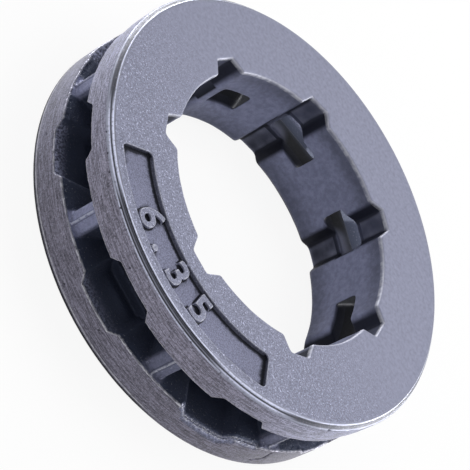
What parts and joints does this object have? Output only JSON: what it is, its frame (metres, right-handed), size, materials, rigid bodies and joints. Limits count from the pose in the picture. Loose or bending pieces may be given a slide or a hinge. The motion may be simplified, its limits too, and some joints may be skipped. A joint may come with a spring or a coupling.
{
  "type": "chainsaw rim sprocket",
  "caption": "Flat cast steel ring with a splined bore and a grooved, pocketed rim that drives a saw chain.",
  "frame": {"origin": "middle of the bore on the plain back face, which the ring lies on", "axes": "+Z along the bore, towards the face with the shallow marking pocket; -Y towards that pocket"},
  "size_m": [0.0315, 0.0314, 0.0076],
  "materials": {
    "cast_steel": "tumbled casting, turned on the rim"
  },
  "bodies": {
    "root": {"rim_sprocket": "cast_steel"}
  },
  "joints": []
}
